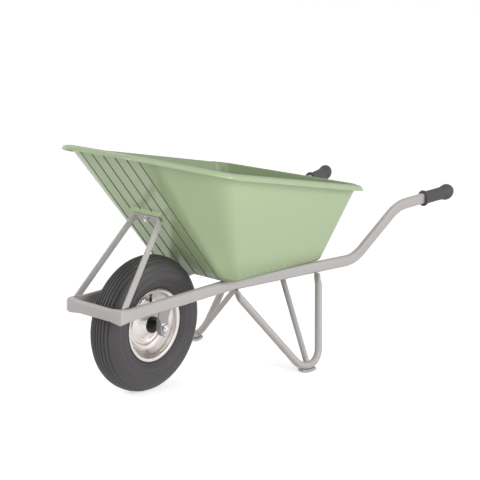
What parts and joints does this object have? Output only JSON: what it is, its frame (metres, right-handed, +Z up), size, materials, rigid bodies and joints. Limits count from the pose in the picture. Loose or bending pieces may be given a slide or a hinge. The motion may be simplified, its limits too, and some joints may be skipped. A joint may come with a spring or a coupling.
{
  "type": "wheelbarrow",
  "caption": "Single-wheel garden wheelbarrow with a deep plastic tub, bent oval-tube frame, V-shaped legs and rubber grips.",
  "frame": {"origin": "on the floor, in the middle of the whole length and width", "axes": "+X back towards the grips, +Y to the right of the person who pushes, +Z up"},
  "size_m": [1.4724, 0.618, 0.7143],
  "materials": {
    "tub": "moulded sage green polypropylene, glossy",
    "frame_paint": "light grey powder coat on steel tube",
    "zinc": "bright zinc plating",
    "rim_zinc": "zinc plated pressed steel",
    "tyre": "dull dark grey rubber",
    "inner_rubber": "soft black butyl rubber",
    "grip_rubber": "dull dark grey rubber",
    "black_plastic": "black nylon and rubber"
  },
  "bodies": {
    "frame": {"left_rail": "frame_paint", "right_rail": "frame_paint", "front_crossbar": "frame_paint", "left_grip": "grip_rubber", "right_grip": "grip_rubber", "left_leg": "frame_paint", "left_skid": "frame_paint", "right_leg": "frame_paint", "right_skid": "frame_paint", "leg_brace": "frame_paint", "tub": "tub", "tub_bracket": "frame_paint", "bracket_bolt": "zinc", "bracket_washer": "zinc", "bracket_nut": "zinc", "front_cross_member": "frame_paint", "rear_cross_member": "frame_paint", "tub_bolt_1": "zinc", "tub_washer_1": "zinc", "tub_nut_1": "zinc", "tub_bolt_2": "zinc", "tub_washer_2": "zinc", "tub_nut_2": "zinc", "tub_bolt_3": "zinc", "tub_washer_3": "zinc", "tub_nut_3": "zinc", "tub_bolt_4": "zinc", "tub_washer_4": "zinc", "tub_nut_4": "zinc", "axle": "zinc", "left_axle_bracket": "frame_paint", "left_axle_washer": "zinc", "left_axle_nut": "zinc", "right_axle_bracket": "frame_paint", "right_axle_washer": "zinc", "right_axle_nut": "zinc"},
    "wheel": {"tyre": "tyre", "inner_tube": "inner_rubber", "left_rim_half": "rim_zinc", "right_rim_half": "rim_zinc", "hub_tube": "rim_zinc", "left_wheel_bush": "black_plastic", "right_wheel_bush": "black_plastic", "valve_stem": "black_plastic", "valve_cap": "black_plastic"}
  },
  "joints": [
    {"name": "wheel_spin", "type": "hinge", "parent": "frame", "child": "wheel", "pos_m": [-0.52259, 0, 0.2], "axis": [0, 1, 0], "continuous": true}
  ]
}
